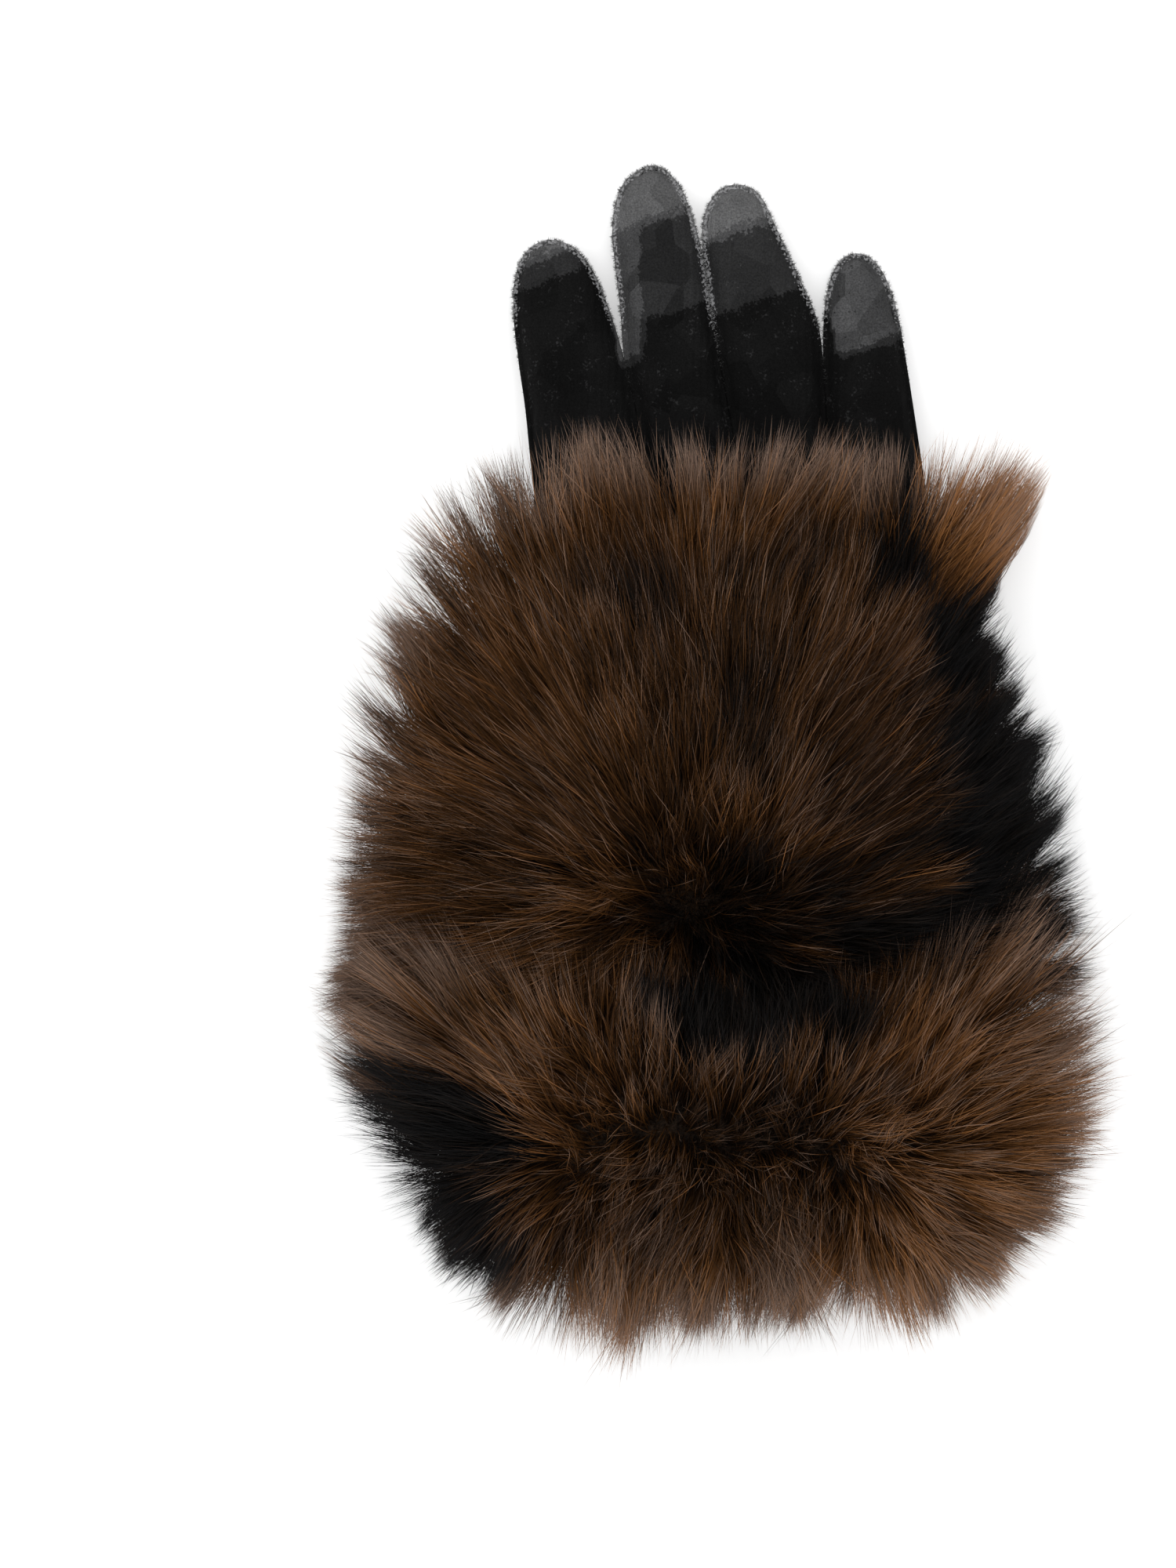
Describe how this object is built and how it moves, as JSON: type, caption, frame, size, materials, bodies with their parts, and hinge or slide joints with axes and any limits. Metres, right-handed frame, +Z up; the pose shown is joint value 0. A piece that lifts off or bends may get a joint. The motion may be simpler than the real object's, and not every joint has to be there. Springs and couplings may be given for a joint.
{
  "type": "faux fur glove",
  "caption": "Right-hand black cloth glove with long brown and black faux fur over its back and a wide fur cuff.",
  "frame": {"origin": "on the table under the middle of the cuff's flat underside", "axes": "+Y from the cuff to the fingertips, +X from the thumb to the little finger, +Z up out of the back of the hand"},
  "size_m": [0.1938, 0.289, 0.0629],
  "materials": {
    "black_cloth": "matte knit with a soft nap",
    "brown_fur": "long mixed brown and black faux fur with a soft sheen"
  },
  "bodies": {
    "root": {"back_cloth": "black_cloth", "back_index": "black_cloth", "back_middle": "black_cloth", "back_ring": "black_cloth", "back_little": "black_cloth", "back_thumb": "black_cloth", "palm_cloth": "black_cloth", "palm_index": "black_cloth", "palm_middle": "black_cloth", "palm_ring": "black_cloth", "palm_little": "black_cloth", "palm_thumb": "black_cloth", "fur_back": "brown_fur", "fur_cuff": "brown_fur"}
  },
  "joints": []
}
